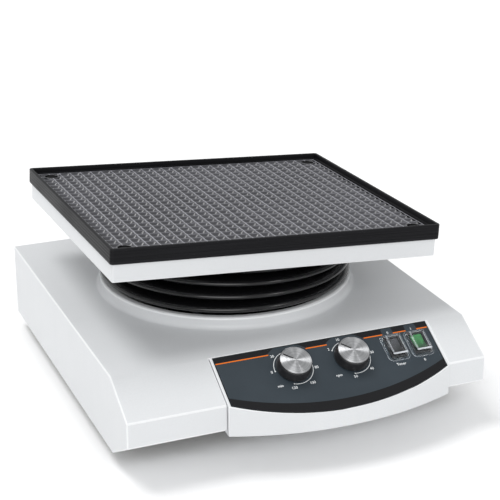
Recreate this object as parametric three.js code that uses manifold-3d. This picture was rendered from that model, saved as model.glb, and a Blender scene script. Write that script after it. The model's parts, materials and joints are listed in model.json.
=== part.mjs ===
// A wave-motion platform shaker for the laboratory bench: a rubber-matted tray that rocks in a circle
// on a wobble drive, above a low wedge-fronted housing with a control console.
// Millimetres, +Z up, front towards -Y. The model is first laid out from the housing's front lower edge,
// and the last group moves it so that the origin is the middle of the footprint, on the bench.
import * as THREE from "three";
import { mergeVertices } from "three/addons/utils/BufferGeometryUtils.js";
import Module from "manifold-3d";

const wasm = await Module();
wasm.setup();

const turn = 2 * Math.PI;
const degree = turn / 360;
const gap = 0.3; // left between pieces that touch
const over = 1; // how far a cutting shape runs past the face it cuts
const clear = 10; // how far a blank stands above what is cut from it

// Housing: side walls, flat deck, sloped facet, short nose and an undercut chin.
const housing = { width: 320, depth: 350, height: 68.8, wall: 3 };
const facet = { run: 40.9, noseTop: 45.8 };
const chin = { run: 40.9, noseBottom: 23.7 };
const boss = { radius: 5.5, inset: 12, screwHole: 2.2, holeDepth: 14 };

// Collar on the deck, which the bellows stands on.
const collar = { outer: 115, wall: 6.7, height: 10.5, fillet: 4, edge: 1, ledge: 8.3, root: 2 };

// Drive: its axis stands behind the middle of the housing; the tray leans away from it.
const drive = { behindMiddle: 22, tilt: 4.53, leansTowards: 27.96 };
const bellows = { outer: 114.5, inner: 103, height: 52.9, folds: 5, foldGap: 2.38, lip: 4 };

// Tray, in its own tilted frame, whose origin is the centre of the wobble.
const tray = {
  width: 294,
  depth: 251.2,
  corner: 2,
  wall: 2.5,
  skirtBottom: 5.6,
  top: 26,
  plate: 3,
};
const mat = { rim: 3, wall: 2, top: 35, skirtBottom: 21.4, floor: 30, corner: 4 };
const trayScrew = { fromSide: 15, fromEnd: 14.4, hole: 6, head: 4.5, headHeight: 3, shank: 2.4, length: 12 };
const trayBoss = { radius: 6, below: 2 };

// Wobble drive.
const base = { thickness: 2, recess: 1.5 };
const baseScrew = { length: 13.5, head: 3.9, headTop: 3.4, headBelow: 0.9 };
const foot = { height: 14, top: 15, bottom: 13, edge: 1, inset: 34, frontInset: 92 };
const shaft = { radius: 7.5, belowHubTop: 2 };
const bearing = { outer: 16, height: 9 };
const bearingHousing = { flange: 34, flangeHeight: 4.2, wall: 5.7, height: 36.5, ledge: 3.3 };
const hub = { radius: 24, bottomBelowPivot: 40, height: 24, spigot: 14.7, spigotAbove: 14, sunk: 4 };
const trayBearing = { outer: 31, below: 3, height: 14 };
const carrier = { plate: 78, plateHeight: 4, wall: 6.7, ledge: 5, headroom: 1 };
const clampRing = { width: 7.5, height: 4 };

// Belt drive: a gear motor behind the shaft.
const pulley = { driven: 36, motor: 14, flange: 2.5, height: 12, bottom: 44, belt: 7.4, centres: 92 };
const belt = { thickness: 1.4 };
const motor = { radius: 26, height: 31, shaft: 4, shaftDepth: 8 };
const bracket = { sideGap: 8.5, depth: 62, sheet: 2.5, holeMargin: 2 };

// Electrical boxes.
const supply = { width: 62, depth: 104, height: 38, fromSide: 10, fromRear: 42 };
const board = { width: 60, depth: 120, thickness: 1.6, standoff: 8, fromSide: 12, fromRear: 60 };
const boardLeg = { radius: 3, inset: 5 };
const heatSink = { width: 24, depth: 40, height: 16.4, y: 20 };
const relay = { width: 16, depth: 16, height: 10.4, x: 8, y: -30 };
const inlet = { flange: 2, flangeMargin: 1.5, corner: 3, bodyWidth: 27, bodyHeight: 46, body: 24 };
const inletPlace = { fromSide: 60, middle: 35 };
const socket = { width: 23.4, height: 15.6, depth: 16.5, corner: 4, middle: -12 };
const pin = { width: 4, thickness: 2, length: 13.5, spread: 7, drop: 4 };
const fuse = { width: 20, height: 9, depth: 17, middle: 14, lip: 1, lipWidth: 10, lipHeight: 1.5 };

// Console: a separate moulding let into the facet, bowed forward in plan.
const consoleBox = {
  left: -75.7,
  right: 124.2,
  endY: -2.5,
  bow: 19.5,
  bottom: 19,
  proud: 1,
  wall: 2.5,
  fromCrest: 0.2,
};
const overlay = { border: 2.6, top: 1.4, end: 48.6, bow: 22.3, thickness: 0.5, recess: 0.7 };

// Controls, placed on the facet: x along the housing, s down the slope from the facet's upper edge.
const knobs = { timer: { x: -9.8, s: 23.4 }, speed: { x: 42.5, s: 23.6 } };
const knob = { skirt: 14.9, draft: 1.2, height: 10.3, rim: 0.4, faceHeight: 1.6, bevel: 0.8, rest: -50 };
const pot = {
  body: 12,
  bodyHeight: 9,
  bushingWall: 1.2,
  bushingTop: 3.2,
  shaft: 3,
  nut: 2.1,
  nutHeight: 1.8,
};
const rockers = { timer: { x: 84, s: 22.4 }, power: { x: 106.6, s: 22.4 } };
const rocker = { width: 10.6, halfLength: 7.8, rise: 5.2, dish: 1.6, pivot: -1.5, swing: 16 };
const rockerFoot = { halfWidth: 4, depth: 3, undercut: 0.8 };
const frame = { wall: 0.9, endGap: 0.9, lip: 1.6, lipWidth: 1, depth: 17, pocket: 6.5 };
const cap = { wall: 1.2, height: 7.6, flange: 1.3, flangeHeight: 0.9, corner: 2 };

// Levels and places that follow from the values above.
const driveY = housing.depth / 2 + drive.behindMiddle;
const collarTop = housing.height + collar.height;
const bellowsBase = collarTop + 0.2;
const carrierTop = tray.top - tray.plate - gap; // the carrier plate, above the wobble centre
const carrierBottom = carrierTop - carrier.plateHeight;
const seat = carrierBottom - gap; // where the bellows ends
const pivotZ = bellowsBase + bellows.height - seat;
const baseTop = base.recess + base.thickness;
const slope = Math.atan2(housing.height - facet.noseTop, facet.run);
const panelTop = consoleBox.proud - overlay.recess + gap + overlay.thickness;
const collarInner = collar.outer - collar.wall;
const matWidth = tray.width + 2 * (mat.wall + gap);
const matDepth = tray.depth + 2 * (mat.wall + gap);
const screwX = tray.width / 2 - trayScrew.fromSide;
const screwY = tray.depth / 2 - trayScrew.fromEnd;
const bushing = pot.shaft + gap + pot.bushingWall;
const pocketWidth = rocker.width + 2 * gap;
const pocketLength = 2 * (rocker.halfLength + frame.endGap);
const frameWidth = pocketWidth + 2 * frame.wall;
const frameLength = pocketLength + 2 * frame.wall;
const lipWidth = frameWidth + 2 * frame.lipWidth;
const lipLength = frameLength + 2 * frame.lipWidth;
const capWidth = lipWidth + 2 * (gap + cap.wall);
const capLength = lipLength + 2 * (gap + cap.wall);

const paint = (color, roughness, metalness = 0, more = {}) =>
  new THREE.MeshStandardMaterial({ color, roughness, metalness, flatShading: true, ...more });
const finish = {
  housing: paint("#dde1e4", 0.45),
  overlay: paint("#3a444b", 0.5),
  black: paint("#1b1b1d", 0.4),
  mat: paint("#3a3a3e", 0.75),
  rubber: paint("#101011", 0.25),
  foot: paint("#26262a", 0.8),
  steel: paint("#9b9ea1", 0.4, 1),
  aluminium: paint("#c6c8ca", 0.3, 1),
  board: paint("#2c5e3a", 0.6),
  green: paint("#3f9a4d", 0.35),
  grey: paint("#4a4c50", 0.5),
  clear: paint("#e8eef0", 0.1, 0, { transparent: true, opacity: 0.3 }),
};

// A closed geometry as a manifold-3d solid.
function solidOf(geometry) {
  geometry.deleteAttribute("normal");
  geometry.deleteAttribute("uv");
  const merged = mergeVertices(geometry, 1e-4);
  const corners = merged.index.array;
  const kept = [];
  for (let i = 0; i < corners.length; i += 3) {
    const [a, b, c] = corners.subarray(i, i + 3);
    if (a !== b && b !== c && c !== a) kept.push(a, b, c);
  }
  const vertProperties = merged.attributes.position.array;
  const triVerts = new Uint32Array(kept);
  return new wasm.Manifold(new wasm.Mesh({ numProp: 3, vertProperties, triVerts }));
}

function geometryOf(solid) {
  const { vertProperties, triVerts } = solid.getMesh();
  return new THREE.BufferGeometry()
    .setAttribute("position", new THREE.BufferAttribute(vertProperties, 3))
    .setIndex(new THREE.BufferAttribute(triVerts, 1));
}

const join = (...solids) => solids.reduce((all, next) => all.add(next));
const cut = (first, ...tools) => tools.reduce((rest, tool) => rest.subtract(tool), first);

// A block between two heights, centred on x, y.
function block(width, depth, bottom, top, x = 0, y = 0) {
  const shape = new THREE.BoxGeometry(width, depth, top - bottom);
  return solidOf(shape.translate(x, y, (bottom + top) / 2));
}

// A turned solid about Z, from its half section [radius, height].
function turned(section, segments = 28) {
  const area = section.reduce((sum, [r, z], i) => {
    const [nextR, nextZ] = section[(i + 1) % section.length];
    return sum + r * nextZ - nextR * z;
  }, 0);
  const points = (area > 0 ? section : section.toReversed()).map(([r, z]) => new THREE.Vector2(r, z));
  if (points[0].x > 0 || points.at(-1).x > 0) points.push(points[0].clone());
  return solidOf(new THREE.LatheGeometry(points, segments).rotateX(turn / 4));
}

function rod(radius, bottom, top, x = 0, y = 0, segments = 16) {
  const shape = new THREE.CylinderGeometry(radius, radius, top - bottom, segments).rotateX(turn / 4);
  return solidOf(shape.translate(x, y, (bottom + top) / 2));
}

// A rectangle with rounded corners, centred on the origin.
function roundedRectangle(width, depth, radius) {
  const x = width / 2 - radius;
  const y = depth / 2 - radius;
  return new THREE.Shape()
    .absarc(x, y, radius, 0, turn / 4)
    .absarc(-x, y, radius, turn / 4, turn / 2)
    .absarc(-x, -y, radius, turn / 2, 0.75 * turn)
    .absarc(x, -y, radius, 0.75 * turn, turn);
}

function raised(shape, bottom, top, curveSegments = 4) {
  const options = { depth: top - bottom, bevelEnabled: false, curveSegments };
  return solidOf(new THREE.ExtrudeGeometry(shape, options).translate(0, 0, bottom));
}

// An outline in y and z, drawn out along x and centred on it.
const acrossX = new THREE.Matrix4().makeBasis(
  new THREE.Vector3(0, 1, 0),
  new THREE.Vector3(0, 0, 1),
  new THREE.Vector3(1, 0, 0),
);
function drawnAcross(outline, width, x = 0) {
  const shape = new THREE.Shape(outline.map(([y, z]) => new THREE.Vector2(y, z)));
  const drawn = new THREE.ExtrudeGeometry(shape, { depth: width, bevelEnabled: false });
  return solidOf(drawn.applyMatrix4(acrossX).translate(x - width / 2, 0, 0));
}

// The same outline with every edge moved inwards by a distance. It runs anticlockwise.
function inset(outline, distance) {
  const edges = outline.map(([y, z], i) => {
    const [nextY, nextZ] = outline[(i + 1) % outline.length];
    const length = Math.hypot(nextY - y, nextZ - z);
    const along = [(nextY - y) / length, (nextZ - z) / length];
    return { along, point: [y - along[1] * distance, z + along[0] * distance] };
  });
  return edges.map((edge, i) => {
    const before = edges.at(i - 1);
    const cross = before.along[0] * edge.along[1] - before.along[1] * edge.along[0];
    const away = [edge.point[0] - before.point[0], edge.point[1] - before.point[1]];
    const reach = (away[0] * edge.along[1] - away[1] * edge.along[0]) / cross;
    return [before.point[0] + before.along[0] * reach, before.point[1] + before.along[1] * reach];
  });
}

const shaker = new THREE.Group();
const layout = new THREE.Group(); // everything, measured from the housing's front lower edge
shaker.add(layout);

// Frames that pieces are placed in.
function placed(parent, x, y, z) {
  const group = new THREE.Group();
  group.position.set(x, y, z);
  parent.add(group);
  return group;
}
const onAxis = placed(layout, 0, driveY, 0);
const panel = placed(layout, 0, facet.run, housing.height);
panel.rotation.x = slope;
panel.updateMatrix();

// A frame at the wobble centre that leans by a share of the drive's tilt.
function leaning(share) {
  const group = placed(layout, 0, driveY, pivotZ);
  const towards = drive.leansTowards * degree;
  const hinge = new THREE.Vector3(-Math.sin(towards), Math.cos(towards), 0);
  group.quaternion.setFromAxisAngle(hinge, share * drive.tilt * degree);
  return group;
}
const leaningTray = leaning(1);

function piece(parent, name, solid, material) {
  const mesh = new THREE.Mesh(geometryOf(solid), material);
  mesh.name = name;
  parent.add(mesh);
}

// Corner places, named by where they lie.
const corners = [
  ["front_left", -1, -1],
  ["front_right", 1, -1],
  ["rear_left", -1, 1],
  ["rear_right", 1, 1],
];

// Housing and what closes it.
const side = [
  [0, chin.noseBottom],
  [chin.run, 0],
  [housing.depth, 0],
  [housing.depth, housing.height],
  [facet.run, housing.height],
  [0, facet.noseTop],
];
const innerWidth = housing.width - 2 * housing.wall;
const floorFront = chin.run + housing.wall;
const floorBack = housing.depth - housing.wall;
const bossX = housing.width / 2 - boss.inset;
const bossY = { [-1]: floorFront + boss.inset, [1]: housing.depth - boss.inset };
const consoleWidth = consoleBox.right - consoleBox.left;
const consoleMiddle = (consoleBox.right + consoleBox.left) / 2;
const consoleBack = facet.run - consoleBox.fromCrest * Math.cos(slope);
const inletX = housing.width / 2 - inletPlace.fromSide;

function makeHousing() {
  const inside = drawnAcross(inset(side, housing.wall), innerWidth);
  const floorMiddle = (floorFront + floorBack) / 2;
  const bottom = block(innerWidth, floorBack - floorFront, -over, housing.wall + over, 0, floorMiddle);
  const lip = [
    [collarInner, housing.height - collar.root],
    [collar.outer + collar.fillet, housing.height - collar.root],
    [collar.outer + collar.fillet, housing.height],
  ];
  const arcSteps = 3;
  for (let i = 1; i <= arcSteps; i++) {
    const angle = (i / arcSteps) * (turn / 4);
    lip.push([
      collar.outer + collar.fillet * (1 - Math.sin(angle)),
      housing.height + collar.fillet * (1 - Math.cos(angle)),
    ]);
  }
  lip.push([collar.outer, collarTop - collar.edge]);
  lip.push([collar.outer - collar.edge, collarTop], [collarInner, collarTop]);
  const ring = turned(lip, 60).translate([0, driveY, 0]);
  const bosses = corners.map(([, x, y]) =>
    cut(
      rod(boss.radius, baseTop + gap, housing.height - over, x * bossX, bossY[y], 12),
      rod(boss.screwHole, 0, baseTop + boss.holeDepth, x * bossX, bossY[y], 10),
    ),
  );
  const deckHole = rod(collarInner - collar.ledge, 0, housing.height + over, 0, driveY, 60);
  const mouth = block(
    consoleWidth + 2 * gap,
    consoleBack + gap + over,
    consoleBox.bottom - gap,
    housing.height + over,
    consoleMiddle,
    (consoleBack + gap - over) / 2,
  );
  const inletHole = block(
    inlet.bodyWidth + 2 * gap,
    4 * housing.wall,
    inletPlace.middle - inlet.bodyHeight / 2 - gap,
    inletPlace.middle + inlet.bodyHeight / 2 + gap,
    inletX,
    housing.depth,
  );
  const shell = cut(drawnAcross(side, housing.width), inside, bottom, deckHole);
  return cut(join(shell, ring, ...bosses), mouth, inletHole);
}
piece(layout, "housing_shell", makeHousing(), finish.housing);

const plateFront = floorFront + gap;
const plateDepth = floorBack - gap - plateFront;
const screwHoles = corners.map(([, x, y]) => rod(boss.screwHole, 0, baseTop + over, x * bossX, bossY[y], 10));
const plate = block(innerWidth - 2 * gap, plateDepth, base.recess, baseTop, 0, plateFront + plateDepth / 2);
piece(layout, "base_plate", cut(plate, ...screwHoles), finish.steel);

for (const [where, x, y] of corners) {
  const screw = turned(
    [
      [0, -baseScrew.headBelow],
      [baseScrew.headTop, -baseScrew.headBelow],
      [baseScrew.head, base.recess - gap],
      [boss.screwHole - gap, base.recess - gap],
      [boss.screwHole - gap, base.recess + baseScrew.length],
      [0, base.recess + baseScrew.length],
    ],
    10,
  );
  piece(placed(layout, x * bossX, bossY[y], 0), "base_screw_" + where, screw, finish.steel);
  const footY = y < 0 ? foot.frontInset : housing.depth - foot.inset;
  const rubber = turned(
    [
      [0, -foot.height],
      [foot.bottom - foot.edge, -foot.height],
      [foot.bottom, foot.edge - foot.height],
      [foot.top, base.recess - gap],
      [0, base.recess - gap],
    ],
    24,
  );
  const footX = x * (housing.width / 2 - foot.inset);
  piece(placed(layout, footX, footY, 0), "foot_" + where, rubber, finish.foot);
}

// Console moulding, its printed overlay and the controls.
// The plan of the console, drawn in by a wall: straight back and sides, and a bowed front.
function consolePlan(wall, back) {
  const half = consoleWidth / 2;
  const radius = (half * half + consoleBox.bow * consoleBox.bow) / (2 * consoleBox.bow);
  const middleY = consoleBox.endY - consoleBox.bow + radius;
  const inner = radius - wall;
  const sweep = Math.asin((half - wall) / inner);
  return new THREE.Shape()
    .absarc(consoleMiddle, middleY, inner, 0.75 * turn - sweep, 0.75 * turn + sweep)
    .lineTo(consoleMiddle + half - wall, back)
    .lineTo(consoleMiddle - half + wall, back);
}

// Everything above a plane parallel to the facet.
function abovePanel(height) {
  const slab = new THREE.BoxGeometry(2 * housing.width, 2 * housing.width, housing.width);
  return solidOf(slab.translate(0, 0, height + housing.width / 2).applyMatrix4(panel.matrix));
}

// The overlay's outline on the panel, grown by a margin.
function overlayOutline(grown) {
  const half = consoleWidth / 2 - overlay.border;
  const radius = (half * half + overlay.bow * overlay.bow) / (2 * overlay.bow);
  const centreY = radius - overlay.end - overlay.bow;
  const outer = radius + grown;
  const sweep = Math.asin((half + grown) / outer);
  return new THREE.Shape()
    .absarc(consoleMiddle, centreY, outer, 0.75 * turn - sweep, 0.75 * turn + sweep)
    .lineTo(consoleMiddle + half + grown, grown - overlay.top)
    .lineTo(consoleMiddle - half - grown, grown - overlay.top);
}

const underPanel = consoleBox.proud - overlay.recess - consoleBox.wall;
// Openings through console and overlay for the controls, in the panel's own frame.
function controlHoles() {
  const round = Object.values(knobs).map(({ x, s }) =>
    rod(bushing + gap, underPanel - over, consoleBox.proud + over, x, -s),
  );
  const square = Object.values(rockers).map(({ x, s }) =>
    block(
      frameWidth + 2 * gap,
      frameLength + 2 * gap,
      underPanel - over,
      consoleBox.proud + over,
      x,
      -s,
    ),
  );
  return join(...round, ...square);
}

function onPanel(solid) {
  return solid.transform(panel.matrix.elements);
}

function makeConsole() {
  const outside = raised(consolePlan(0, consoleBack), consoleBox.bottom, housing.height + clear, 12);
  const inside = raised(
    consolePlan(consoleBox.wall, consoleBack + over),
    consoleBox.bottom + consoleBox.wall,
    housing.height + clear,
    12,
  );
  const hollow = cut(inside, abovePanel(underPanel));
  const recess = raised(overlayOutline(gap), consoleBox.proud - overlay.recess, consoleBox.proud + over, 12);
  return cut(outside, abovePanel(consoleBox.proud), hollow, onPanel(recess), onPanel(controlHoles()));
}
piece(layout, "console_shell", makeConsole(), finish.housing);

const sheet = raised(overlayOutline(0), panelTop - overlay.thickness, panelTop, 12);
piece(panel, "console_overlay", cut(sheet, controlHoles()), finish.overlay);

const knobRoof = 1.3; // between the top of a knob's bore and the knob's top
const knobTop = knob.skirt - knob.draft;
const faceRadius = knobTop - knob.rim;
for (const [name, { x, s }] of Object.entries(knobs)) {
  const place = placed(panel, x, -s, 0);
  const potTop = underPanel - gap;
  const dial = placed(place, 0, 0, 0);
  dial.rotation.z = -knob.rest * degree;
  const potBody = turned([
    [0, potTop - pot.bodyHeight],
    [pot.body, potTop - pot.bodyHeight],
    [pot.body, potTop],
    [bushing, potTop],
    [bushing, pot.bushingTop],
    [pot.shaft + gap, pot.bushingTop],
    [pot.shaft + gap, potTop - pot.bodyHeight / 2],
    [0, potTop - pot.bodyHeight / 2],
  ]);
  piece(place, name + "_potentiometer", potBody, finish.grey);
  const nutBottom = panelTop + gap;
  const nutRadius = bushing + pot.nut;
  const nut = cut(
    rod(nutRadius, nutBottom, nutBottom + pot.nutHeight, 0, 0, 6),
    rod(bushing + gap, nutBottom - over, nutBottom + pot.nutHeight + over),
  );
  piece(place, name + "_potentiometer_nut", nut, finish.steel);
  const boreTop = knob.height - knobRoof;
  const stem = rod(pot.shaft, potTop - pot.bodyHeight / 2 + gap, boreTop - gap);
  piece(dial, name + "_knob_shaft", stem, finish.steel);
  const skirtBottom = panelTop + 2 * gap;
  const grip = turned([
    [0, boreTop],
    [pot.shaft + gap, boreTop],
    [pot.shaft + gap, pot.bushingTop + 2 * gap],
    [nutRadius + over, pot.bushingTop + 2 * gap],
    [nutRadius + over, skirtBottom],
    [knob.skirt, skirtBottom],
    [knobTop, knob.height],
    [0, knob.height],
  ]);
  piece(dial, name + "_knob", grip, finish.black);
  const faceBottom = knob.height + gap;
  const face = turned([
    [0, faceBottom],
    [faceRadius, faceBottom],
    [faceRadius, faceBottom + knob.faceHeight - knob.bevel],
    [faceRadius - knob.bevel, faceBottom + knob.faceHeight],
    [0, faceBottom + knob.faceHeight],
  ]);
  piece(dial, name + "_knob_face", face, finish.aluminium);
}

const rockerFinish = { timer: finish.grey, power: finish.green };
for (const [name, { x, s }] of Object.entries(rockers)) {
  const place = placed(panel, x, -s, 0);
  const bottom = panelTop + gap;
  const bezel = join(
    block(lipWidth, lipLength, bottom, bottom + frame.lip),
    block(frameWidth, frameLength, -frame.depth, bottom + frame.lip / 2),
  );
  const pocket = block(pocketWidth, pocketLength, -frame.pocket, bottom + frame.lip + over);
  piece(place, name + "_switch_frame", cut(bezel, pocket), finish.black);
  const tilt = placed(place, 0, 0, rocker.pivot);
  tilt.rotation.x = (-rocker.swing / 2) * degree;
  const key = [
    [-rockerFoot.halfWidth, -rockerFoot.depth],
    [rockerFoot.halfWidth, -rockerFoot.depth],
    [rocker.halfLength - rockerFoot.undercut, 0],
    [rocker.halfLength, rocker.rise],
    [0, rocker.rise - rocker.dish],
    [-rocker.halfLength, rocker.rise],
    [rockerFoot.undercut - rocker.halfLength, 0],
  ];
  piece(tilt, name + "_rocker", drawnAcross(key, rocker.width), rockerFinish[name]);
  const coverTop = bottom + cap.height;
  const cover = join(
    raised(roundedRectangle(capWidth, capLength, cap.corner), bottom, coverTop, 2),
    raised(
      roundedRectangle(capWidth + 2 * cap.flange, capLength + 2 * cap.flange, cap.corner),
      bottom,
      bottom + cap.flangeHeight,
      2,
    ),
  );
  const hollow = block(
    capWidth - 2 * cap.wall,
    capLength - 2 * cap.wall,
    bottom - over,
    coverTop - cap.wall,
  );
  piece(place, name + "_switch_cover", cut(cover, hollow), finish.clear);
}

// Shaft, bearings and belt drive, standing on the base plate.
const bottomZ = baseTop + gap;
const tubeTop = bottomZ + bearingHousing.height;
const seatRadius = bearing.outer + gap;
const lowerSeat = bottomZ + gap + bearing.height + gap;
const upperSeat = tubeTop - gap - bearing.height - gap;
const housingSection = [
  [seatRadius, bottomZ],
  [bearingHousing.flange, bottomZ],
  [bearingHousing.flange, bottomZ + bearingHousing.flangeHeight],
  [seatRadius + bearingHousing.wall, bottomZ + bearingHousing.flangeHeight],
  [seatRadius + bearingHousing.wall, tubeTop],
  [seatRadius, tubeTop],
  [seatRadius, upperSeat],
  [seatRadius - bearingHousing.ledge, upperSeat],
  [seatRadius - bearingHousing.ledge, lowerSeat],
  [seatRadius, lowerSeat],
];
piece(onAxis, "bearing_housing", turned(housingSection, 24), finish.aluminium);

function ringOf(inner, outer, bottom, top, segments = 24) {
  return turned(
    [
      [inner, bottom],
      [outer, bottom],
      [outer, top],
      [inner, top],
    ],
    segments,
  );
}
const shaftHole = shaft.radius + gap;
for (const [name, bottom] of Object.entries({ lower: bottomZ + gap, upper: upperSeat + gap })) {
  const ring = ringOf(shaftHole, bearing.outer, bottom, bottom + bearing.height);
  piece(onAxis, name + "_bearing", ring, finish.steel);
}

const hubBottom = pivotZ - hub.bottomBelowPivot;
const hubTop = hubBottom + hub.height;
const shaftTop = hubTop - shaft.belowHubTop;
piece(onAxis, "main_shaft", rod(shaft.radius, bottomZ + 2 * gap, shaftTop, 0, 0, 24), finish.steel);

function beltPulley(radius, hole) {
  const top = pulley.bottom + pulley.height;
  const groove = (pulley.height - pulley.belt) / 2 - gap;
  return turned(
    [
      [hole, pulley.bottom],
      [radius + pulley.flange, pulley.bottom],
      [radius + pulley.flange, pulley.bottom + groove],
      [radius, pulley.bottom + groove],
      [radius, top - groove],
      [radius + pulley.flange, top - groove],
      [radius + pulley.flange, top],
      [hole, top],
    ],
    32,
  );
}
piece(onAxis, "driven_pulley", beltPulley(pulley.driven, shaftHole), finish.aluminium);

const motorPlace = placed(onAxis, 0, pulley.centres, 0);
const motorTop = bottomZ + gap + motor.height;
const motorHole = motor.shaft + gap;
piece(motorPlace, "motor_pulley", beltPulley(pulley.motor, motorHole), finish.aluminium);
const outputShaft = rod(motor.shaft, motorTop - motor.shaftDepth + gap, pulley.bottom + pulley.height);
piece(motorPlace, "motor_shaft", outputShaft, finish.steel);
const motorSection = [
  [0, bottomZ + gap],
  [motor.radius, bottomZ + gap],
  [motor.radius, motorTop],
  [motorHole, motorTop],
  [motorHole, motorTop - motor.shaftDepth],
  [0, motorTop - motor.shaftDepth],
];
piece(motorPlace, "gear_motor", turned(motorSection, 24), finish.black);

// A bridge over the motor: a top sheet on two legs.
const bridgeBottom = motorTop + gap;
const bridgeTop = bridgeBottom + bracket.sheet;
const bracketWidth = 2 * (motor.radius + bracket.sideGap + bracket.sheet);
const bracketLegX = (bracketWidth - bracket.sheet) / 2;
const bridge = join(
  block(bracketWidth, bracket.depth, bridgeBottom, bridgeTop),
  block(bracket.sheet, bracket.depth, bottomZ, bridgeTop, bracketLegX),
  block(bracket.sheet, bracket.depth, bottomZ, bridgeTop, -bracketLegX),
);
const bridgeHole = rod(motorHole + bracket.holeMargin, bridgeBottom - over, bridgeTop + over);
piece(motorPlace, "motor_bracket", cut(bridge, bridgeHole), finish.steel);

// The belt as an open loop round both pulleys.
function beltLoop(grown) {
  const big = pulley.driven + grown;
  const small = pulley.motor + grown;
  const lead = Math.acos((big - small) / pulley.centres);
  return new THREE.Shape()
    .absarc(0, 0, big, lead, turn - lead)
    .absarc(pulley.centres, 0, small, -lead, lead);
}
const loop = beltLoop(gap + belt.thickness);
loop.holes.push(beltLoop(gap));
const beltBottom = pulley.bottom + (pulley.height - pulley.belt) / 2;
const beltTurn = placed(onAxis, 0, 0, 0);
beltTurn.rotation.z = turn / 4;
piece(beltTurn, "drive_belt", raised(loop, beltBottom, beltBottom + pulley.belt, 12), finish.black);

// Wobble hub: a boss on the shaft with an inclined spigot.
const lean = new THREE.Matrix4().makeRotationFromQuaternion(leaningTray.quaternion);
const spigotBottom = hubTop - pivotZ - hub.sunk;
const spigot = rod(hub.spigot, spigotBottom, hub.spigotAbove, 0, 0, 24).transform(lean.elements);
const hubSolid = cut(
  join(rod(hub.radius, hubBottom, hubTop, 0, 0, 24), spigot.translate([0, 0, pivotZ])),
  rod(shaftHole, hubBottom - over, shaftTop + gap, 0, 0, 24),
);
piece(onAxis, "wobble_hub", hubSolid, finish.steel);

// Tray assembly, in its leaning frame.
const trayBearingTop = trayBearing.height - trayBearing.below;
const trayRing = ringOf(hub.spigot + gap, trayBearing.outer, -trayBearing.below, trayBearingTop);
piece(leaningTray, "tray_bearing", trayRing, finish.steel);
const cupRadius = trayBearing.outer + gap;
const carrierSection = [
  [0, hub.spigotAbove + carrier.headroom],
  [cupRadius - carrier.ledge, hub.spigotAbove + carrier.headroom],
  [cupRadius - carrier.ledge, trayBearingTop + gap],
  [cupRadius, trayBearingTop + gap],
  [cupRadius, -trayBearing.below],
  [cupRadius + carrier.wall, -trayBearing.below],
  [cupRadius + carrier.wall, carrierBottom],
  [carrier.plate, carrierBottom],
  [carrier.plate, carrierTop],
  [0, carrierTop],
];
piece(leaningTray, "tray_carrier", turned(carrierSection), finish.aluminium);
const clampOuter = collarInner - gap;
const clampInner = clampOuter - clampRing.width;
const upperClamp = ringOf(clampInner, clampOuter, seat + gap, carrierTop, 48);
piece(leaningTray, "bellows_clamp_upper", upperClamp, finish.steel);
const clampBottom = housing.height + gap;
const lowerClamp = ringOf(clampInner, clampOuter, clampBottom, clampBottom + clampRing.height, 48);
piece(onAxis, "bellows_clamp_lower", lowerClamp, finish.steel);

function makeTray() {
  const outside = raised(
    roundedRectangle(tray.width, tray.depth, tray.corner),
    tray.skirtBottom,
    tray.top,
    3,
  );
  const inside = block(
    tray.width - 2 * tray.wall,
    tray.depth - 2 * tray.wall,
    tray.skirtBottom - over,
    tray.top - tray.plate,
  );
  const trayBossBottom = tray.top - trayScrew.length - trayBoss.below;
  const bosses = corners.map(([, x, y]) =>
    rod(trayBoss.radius, trayBossBottom, tray.top - over, x * screwX, y * screwY, 10),
  );
  const holes = corners.map(([, x, y]) =>
    rod(trayScrew.shank + gap, 0, tray.top + over, x * screwX, y * screwY, 10),
  );
  return cut(join(cut(outside, inside), ...bosses), ...holes);
}
piece(leaningTray, "tray_shell", makeTray(), finish.housing);

function makeMat() {
  const outside = raised(roundedRectangle(matWidth, matDepth, mat.corner), mat.skirtBottom, mat.top, 4);
  const under = raised(
    roundedRectangle(tray.width + 2 * gap, tray.depth + 2 * gap, tray.corner + gap),
    mat.skirtBottom - over,
    tray.top + gap,
    3,
  );
  const well = raised(
    roundedRectangle(matWidth - 2 * mat.rim, matDepth - 2 * mat.rim, mat.corner / 2),
    mat.floor,
    mat.top + over,
    3,
  );
  const holes = corners.map(([, x, y]) =>
    rod(trayScrew.hole, tray.top, mat.top, x * screwX, y * screwY, 14),
  );
  return cut(outside, under, well, ...holes);
}
piece(leaningTray, "rubber_mat", makeMat(), finish.mat);

for (const [where, x, y] of corners) {
  const screw = turned(
    [
      [0, tray.top - trayScrew.length],
      [trayScrew.shank, tray.top - trayScrew.length],
      [trayScrew.shank, tray.top + gap],
      [trayScrew.head, tray.top + gap],
      [trayScrew.head, tray.top + gap + trayScrew.headHeight],
      [0, tray.top + gap + trayScrew.headHeight],
    ],
    10,
  );
  const place = placed(leaningTray, x * screwX, y * screwY, 0);
  piece(place, "tray_screw_" + where, screw, finish.black);
}

// Bellows: each fold leans by its own share, so the stack follows the tray.
const foldPitch = bellows.height / bellows.folds;
const foldHalf = (foldPitch - bellows.foldGap) / 2;
const crestHalf = foldHalf * 0.4; // the flat of a fold's crest
const footHalf = foldHalf * 0.5; // a fold's height at its inner edge
for (let i = 0; i < bellows.folds; i++) {
  const share = (i + 0.5) / bellows.folds;
  const middle = bellowsBase + share * bellows.height - pivotZ;
  const shoulder = bellows.outer - bellows.lip;
  const section = [
    [bellows.inner, middle - footHalf],
    [shoulder, middle - foldHalf],
    [bellows.outer, middle - crestHalf],
    [bellows.outer, middle + crestHalf],
    [shoulder, middle + foldHalf],
    [bellows.inner, middle + footHalf],
  ];
  piece(leaning(share), "bellows_fold_" + (i + 1), turned(section, 40), finish.rubber);
}

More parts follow.
